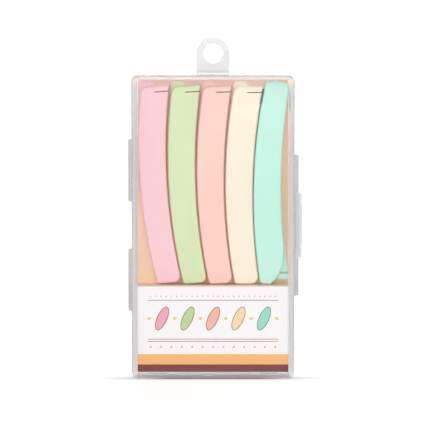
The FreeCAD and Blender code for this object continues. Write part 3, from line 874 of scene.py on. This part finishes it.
# Faces that look fully to the front lie on a few levels, and the groove's floor is the second
FULLY_FRONT = -0.999
SEAM_LEVEL = 1
SAME_LEVEL = 0.01
SAME_POINT = 0.001


def seam_shadow_strip(name):
    """A thin dark strip of painted shadow on the floor of the groove, read from the handle's own
    faces.
    """
    handle = nodes[f"{name}_handle"].data
    facing = [face for face in handle.polygons if face.normal.y < FULLY_FRONT]
    floor_level = sorted({round(face.center.y, 5) for face in facing})[SEAM_LEVEL]
    build = bmesh.new()
    for face in facing:
        if abs(face.center.y - floor_level) < SAME_LEVEL * MM:
            corners = [handle.vertices[i].co - Vector((0, SEAM_PROUD * MM, 0)) for i in face.vertices]
            build.faces.new([build.verts.new(corner) for corner in corners])
    bmesh.ops.remove_doubles(build, verts=build.verts, dist=SAME_POINT * MM)
    grown = bmesh.ops.extrude_face_region(build, geom=build.faces[:], use_keep_orig=True)
    deeper = [item for item in grown["geom"] if isinstance(item, bmesh.types.BMVert)]
    bmesh.ops.translate(build, verts=deeper, vec=(0, SEAM_PROUD * MM / 2, 0))
    # The pastel darkened to paint the shadow deep in the groove
    seam_shadow_plastic = pastel_plastic(f"{name}_seam", shade(PASTELS[name], SEAM_SHADE))
    strip = made_object(build, f"{name}_seam_shadow_strip", seam_shadow_plastic)
    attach(strip, "case_base")


for name in PASTELS:
    seam_shadow_strip(name)

# The short dark slip of painted shadow that fills the gap between the cream razor and the mint one

GAP_SHADOW_HEIGHTS = (105.9, 111.6)
GAP_SHADOW_DEPTHS = (-1.22, -0.9)
GAP_SHADOW_ROOM = 0.06
GAP_SHADOW_TONE = (44, 44, 46)
# The line that finds the cream razor's side starts right of it, and the mint razor's left of it
RIGHT_OF_CREAM = 30.0
LEFT_OF_MINT = 10.0


def side_reach(node, depth, height, start, towards):
    """Where a level line across the gap first meets a razor, in metres."""
    origin = Vector((start * MM, depth * MM, height * MM))
    place = nodes[node].ray_cast(origin, Vector((towards, 0, 0)))[1]
    return place.x


def gap_shadow_slip():
    """A thin dark slip of painted shadow between the two razors, shaped to their sides at its top and
    at its foot.
    """
    build = bmesh.new()
    rings = []
    for height in GAP_SHADOW_HEIGHTS:
        ring = []
        for across, back in CORNERS:
            depth = GAP_SHADOW_DEPTHS[back]
            if across:
                x = side_reach("mint_arm", depth, height, LEFT_OF_MINT, 1) - GAP_SHADOW_ROOM * MM
            else:
                x = side_reach("cream_handle", depth, height, RIGHT_OF_CREAM, -1)
            ring.append(build.verts.new((x, depth * MM, height * MM)))
        rings.append(ring)
    join_rings(build, rings)
    # Its dark tone paints the deep shadow in the gap
    slip = made_object(build, "cream_gap_shadow_slip", pastel_plastic("gap_shadow_dark", GAP_SHADOW_TONE))
    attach(slip, "case_base")


gap_shadow_slip()

# Stage floor, lamps and camera, with their sizes in metres

STAGE_REACH = 2.0
floor_mesh = bpy.data.meshes.new("floor")
floor_corners = [
    (-STAGE_REACH, -STAGE_REACH, 0),
    (STAGE_REACH, -STAGE_REACH, 0),
    (STAGE_REACH, STAGE_REACH, 0),
    (-STAGE_REACH, STAGE_REACH, 0),
]
floor_mesh.from_pydata(floor_corners, [], [(0, 1, 2, 3)])
floor_mesh.materials.append(plain_floor())
floor = add_object("floor", floor_mesh)

ROOM_LIGHT = 0.5
# Each soft lamp: the direction that it shines from, its strength and its spread in degrees
LAMPS = {
    "key_lamp": ((-0.05, -0.9, 0.42), 0.78, 40),
    "front_lamp": ((0.0, -1.0, 0.087), 0.6, 8),
    "back_lamp": ((0.25, 0.9, 0.4), 1.1, 70),
}


def light_world(strength):
    """An even pale surround that the camera and the plastic see as white."""
    world = bpy.data.worlds.new("soft_room")
    bpy.context.scene.world = world
    world.use_nodes = True
    tree = world.node_tree
    tree.nodes.clear()
    output = tree.nodes.new("ShaderNodeOutputWorld")
    mix = tree.nodes.new("ShaderNodeMixShader")
    for socket, level in ((mix.inputs[1], strength), (mix.inputs[2], 1.0)):
        surround = tree.nodes.new("ShaderNodeBackground")
        surround.inputs["Color"].default_value = (1, 1, 1, 1)
        surround.inputs["Strength"].default_value = level
        tree.links.new(surround.outputs["Background"], socket)
    path = tree.nodes.new("ShaderNodeLightPath")
    seen = path.outputs["Is Camera Ray"]
    for name in ("Is Glossy Ray", "Is Transmission Ray"):
        larger = tree.nodes.new("ShaderNodeMath")
        larger.operation = "MAXIMUM"
        tree.links.new(seen, larger.inputs[0])
        tree.links.new(path.outputs[name], larger.inputs[1])
        seen = larger.outputs["Value"]
    tree.links.new(seen, mix.inputs["Fac"])
    tree.links.new(mix.outputs["Shader"], output.inputs["Surface"])


def add_sun(name, towards, strength, spread):
    """A soft lamp without falloff, shining from the direction given."""
    lamp = bpy.data.lights.new(name, "SUN")
    lamp.energy = strength
    lamp.angle = math.radians(spread)
    item = add_object(name, lamp)
    item.rotation_euler = Vector(towards).to_track_quat("Z", "Y").to_euler()


light_world(ROOM_LIGHT)
for name, (towards, strength, spread) in LAMPS.items():
    add_sun(name, towards, strength, spread)

# The camera stands far off and a little above; PIXEL is the width of a picture's pixel at the case
PIXEL = 0.383 * MM
FRAME_PIXELS = 430
AIM = Vector((0.77 * MM, -7.2 * MM, 63.5 * MM))
CAMERA_DISTANCE = 1.2
CAMERA_RISE = math.radians(5.0)
SENSOR = 36.0

camera_data = bpy.data.cameras.new("camera")
camera_data.sensor_width = SENSOR
camera_data.lens = SENSOR * CAMERA_DISTANCE / (FRAME_PIXELS * PIXEL)
camera = add_object("camera", camera_data)
away = Vector((0, -math.cos(CAMERA_RISE), math.sin(CAMERA_RISE)))
camera.location = AIM + away * CAMERA_DISTANCE
camera.rotation_euler = (-away).to_track_quat("-Z", "Y").to_euler()
bpy.context.scene.camera = camera
bpy.context.scene.view_settings.view_transform = "Standard"
